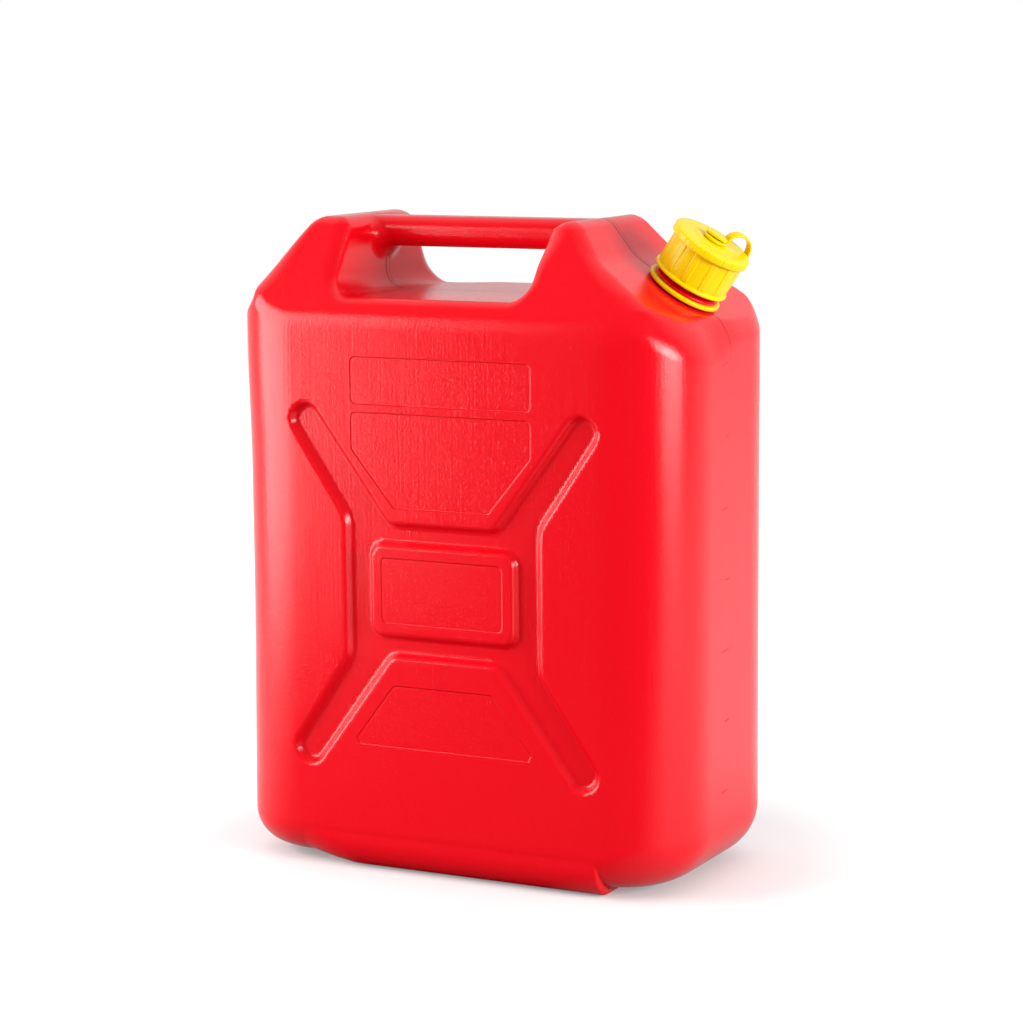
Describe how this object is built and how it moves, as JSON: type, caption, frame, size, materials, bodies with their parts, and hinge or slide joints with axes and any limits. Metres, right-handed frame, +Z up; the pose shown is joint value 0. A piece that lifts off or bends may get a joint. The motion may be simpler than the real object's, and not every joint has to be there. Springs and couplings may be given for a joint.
{
  "type": "fuel can",
  "caption": "Upright blow-moulded fuel can with a moulded handle bar, pressed cross panels and a tilted threaded neck, closed by a tethered screw cap with a gasket.",
  "frame": {"origin": "the middle of the foot's underside, which is where the tank stands", "axes": "+X to the neck, +Y to the back panel, +Z up"},
  "size_m": [0.3405, 0.1766, 0.4328],
  "materials": {
    "tank_plastic": "semi-gloss red polyethylene with a fine leather grain",
    "cap_plastic": "semi-gloss yellow polypropylene",
    "gasket_foam": "soft matte foam"
  },
  "bodies": {
    "tank": {"tank": "tank_plastic"},
    "tether": {"tether_ring": "cap_plastic", "tether_strap": "cap_plastic"},
    "eyelet": {"tether_eyelet": "cap_plastic"},
    "gasket": {"cap_gasket": "gasket_foam"},
    "cap": {"cap": "cap_plastic"}
  },
  "joints": [
    {"name": "tether_swivel", "type": "hinge", "parent": "tank", "child": "tether", "pos_m": [0.13127, 0, 0.38557], "axis": [0.5505, 0, 0.8348], "continuous": true},
    {"name": "cap_lift", "type": "slide", "parent": "tank", "child": "gasket", "axis": [0.5505, 0, 0.8348], "range_m": [0, 0.027]},
    {"name": "cap_turn", "type": "hinge", "parent": "gasket", "child": "cap", "pos_m": [0.13127, 0, 0.38557], "axis": [0.5505, 0, 0.8348], "range_deg": [0, 1620]},
    {"name": "eyelet_lift", "type": "slide", "parent": "tether", "child": "eyelet", "axis": [0.5505, 0, 0.8348], "range_m": [0, 0.027], "deforming": ["tether_strap"]}
  ],
  "couplings": [
    {"joint": "cap_lift", "follows": "cap_turn", "m_per_rad": 0.00095492},
    {"joint": "eyelet_lift", "follows": "cap_turn", "m_per_rad": 0.00095492}
  ]
}
